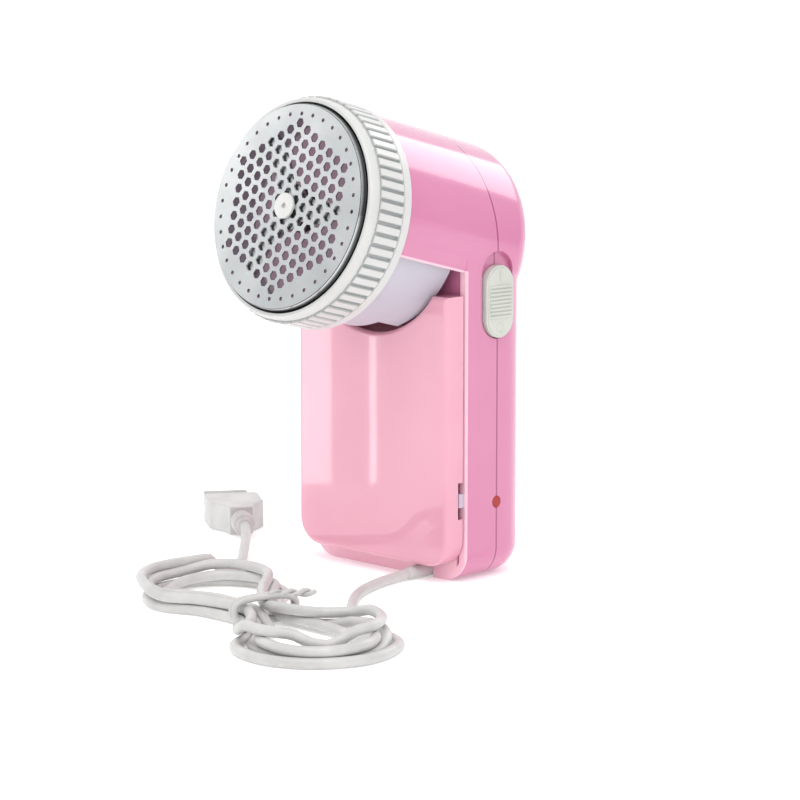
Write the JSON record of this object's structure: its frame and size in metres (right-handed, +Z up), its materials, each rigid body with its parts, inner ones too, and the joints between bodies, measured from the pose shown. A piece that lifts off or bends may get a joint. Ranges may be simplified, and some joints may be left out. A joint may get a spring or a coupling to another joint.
{
  "type": "fabric shaver",
  "caption": "Hand-held lint remover with a tilted round foil in a ribbed screw ring, a clear lint box below it, a slide switch, a charging light and a captive USB cord.",
  "frame": {"origin": "middle of the footprint on the standing surface, measured without the cord", "axes": "+Z up along the handle, -Y towards the shaving face, +X towards the side with the switch"},
  "size_m": [0.1572, 0.1255, 0.1219],
  "materials": {
    "pink_shell": "gloss",
    "clear_pink": "clear",
    "grey_plastic": "satin",
    "white_plastic": "satin",
    "polished_steel": "polished",
    "steel": "satin",
    "dark_plastic": "matt",
    "copper": "wound wire",
    "brass": "satin",
    "green_board": "satin",
    "red_lens": "gloss",
    "blue_sleeve": "gloss",
    "red_wire": "satin",
    "black_wire": "satin",
    "white_soft": "satin",
    "plug_metal": "satin"
  },
  "bodies": {
    "base": {"front_shell": "pink_shell", "rear_shell": "pink_shell", "shell_screws": "steel", "cutter_housing": "grey_plastic", "lint_duct": "grey_plastic", "latch_tabs": "white_plastic", "motor_can": "steel", "motor_magnets": "dark_plastic", "motor_bush": "brass", "motor_end_cap": "white_plastic", "motor_terminals": "brass", "motor_screws": "steel", "switch_body": "steel", "circuit_board": "green_board", "board_parts": "dark_plastic", "charge_led": "red_lens", "battery_cell": "blue_sleeve", "battery_tabs": "steel", "motor_wires": "red_wire", "battery_wires": "black_wire", "cord_gland": "white_soft", "cord_run": "white_soft", "cord_hank": "white_soft", "cord_tie": "white_soft", "cord_lead": "white_soft", "plug_boot": "white_soft", "plug_body": "white_plastic", "plug_shell": "plug_metal", "plug_tongue": "white_plastic", "plug_contacts": "brass"},
    "rotor": {"cutter_blade": "steel", "blade_hub": "dark_plastic", "fan_impeller": "grey_plastic", "motor_shaft": "steel", "motor_armature": "copper"},
    "foil_unit": {"foil": "polished_steel", "foil_rim": "polished_steel", "foil_hub": "white_plastic"},
    "guard": {"guard_ring": "white_plastic"},
    "lint_box": {"lint_box": "clear_pink"},
    "switch": {"switch_button": "white_plastic", "switch_lever": "dark_plastic"}
  },
  "joints": [
    {"name": "rotor_spin", "type": "hinge", "parent": "base", "child": "rotor", "pos_m": [0, -0.0295, 0.095], "axis": [0, -0.9703, 0.2419], "continuous": true},
    {"name": "foil_lift", "type": "slide", "parent": "base", "child": "foil_unit", "axis": [0, -0.9703, 0.2419], "range_m": [0, 0.0036]},
    {"name": "ring_turn", "type": "hinge", "parent": "foil_unit", "child": "guard", "pos_m": [0, -0.0295, 0.095], "axis": [0, -0.9703, 0.2419], "range_deg": [0, 540]},
    {"name": "box_slide", "type": "slide", "parent": "base", "child": "lint_box", "axis": [0, -1, 0], "range_m": [0, 0.013]},
    {"name": "switch_slide", "type": "slide", "parent": "base", "child": "switch", "axis": [0, 0, 1], "range_m": [0, 0.0032]}
  ],
  "couplings": [
    {"joint": "ring_turn", "follows": "foil_lift", "rad_per_m": 2618}
  ]
}
